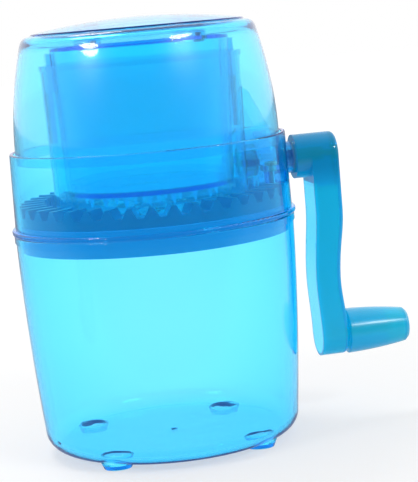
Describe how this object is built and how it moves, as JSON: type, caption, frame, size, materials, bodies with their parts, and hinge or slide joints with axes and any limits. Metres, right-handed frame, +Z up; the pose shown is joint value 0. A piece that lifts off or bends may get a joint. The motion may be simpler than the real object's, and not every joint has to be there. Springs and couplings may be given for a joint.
{
  "type": "ice shaver with crank",
  "caption": "Hand cranked ice shaver of clear plastic: round cup, collar with crown gear and blade disc, domed pusher lid, and a side crank with a turning grip.",
  "frame": {"origin": "on the axis of the round body, in the plane that the four feet stand on", "axes": "+Z up along the axis of the body; +X along the crank axis, from the body towards the crank; +Y towards the far side"},
  "size_m": [0.2088, 0.15, 0.2275],
  "materials": {
    "cup": "clear cyan, polished",
    "lid": "clear cyan, polished",
    "housing": "clear cyan, polished",
    "bearing_ring": "clear cyan, polished",
    "hopper": "clear cyan, polished",
    "gear_disc": "clear cyan, polished",
    "pusher": "clear cyan, polished",
    "spike_plate": "clear cyan, polished",
    "pinion": "clear cyan, polished",
    "crank_arm": "clear cyan, polished",
    "arm_cover": "clear cyan, polished",
    "grip": "clear cyan, polished",
    "grip_cap": "clear cyan, polished",
    "blade_1": "ground, bright edge",
    "blade_2": "ground, bright edge",
    "blade_3": "ground, bright edge",
    "blade_screws": "plain",
    "hopper_screws": "plain",
    "pusher_screws": "plain",
    "crank_screw": "plain",
    "drive_pin": "plain",
    "grip_pin": "plain",
    "push_nut": "plain",
    "crank_shaft": "moulded, clear cyan",
    "inner_bush": "moulded, clear cyan",
    "outer_bush": "moulded, clear cyan",
    "thrust_washer": "moulded, clear cyan"
  },
  "bodies": {
    "cup": {"cup": "cup"},
    "housing": {"housing": "housing", "bearing_ring": "bearing_ring", "hopper": "hopper", "hopper_screws": "hopper_screws", "inner_bush": "inner_bush", "outer_bush": "outer_bush"},
    "disc": {"gear_disc": "gear_disc", "blade_1": "blade_1", "blade_2": "blade_2", "blade_3": "blade_3", "blade_screws": "blade_screws"},
    "crank": {"crank_shaft": "crank_shaft", "pinion": "pinion", "drive_pin": "drive_pin", "thrust_washer": "thrust_washer", "crank_arm": "crank_arm", "arm_cover": "arm_cover", "crank_screw": "crank_screw", "grip_pin": "grip_pin", "push_nut": "push_nut"},
    "grip": {"grip": "grip", "grip_cap": "grip_cap"},
    "lid": {"lid": "lid", "pusher": "pusher", "pusher_screws": "pusher_screws", "spike_plate": "spike_plate"}
  },
  "joints": [
    {"name": "housing_lift", "type": "slide", "parent": "cup", "child": "housing", "axis": [0, 0, 1], "range_m": [0, 0.015]},
    {"name": "disc_spin", "type": "hinge", "parent": "housing", "child": "disc", "pos_m": [0, 0, 0.13], "axis": [0, 0, 1], "continuous": true},
    {"name": "crank_spin", "type": "hinge", "parent": "housing", "child": "crank", "pos_m": [0.06, 0, 0.146], "axis": [1, 0, 0], "continuous": true},
    {"name": "grip_spin", "type": "hinge", "parent": "crank", "child": "grip", "pos_m": [0.116, 0, 0.0481], "axis": [1, 0, 0], "continuous": true},
    {"name": "lid_lift", "type": "slide", "parent": "housing", "child": "lid", "axis": [0, 0, 1], "range_m": [0, 0.085]}
  ],
  "couplings": [
    {"joint": "crank_spin", "follows": "disc_spin", "ratio": 4.4444}
  ]
}
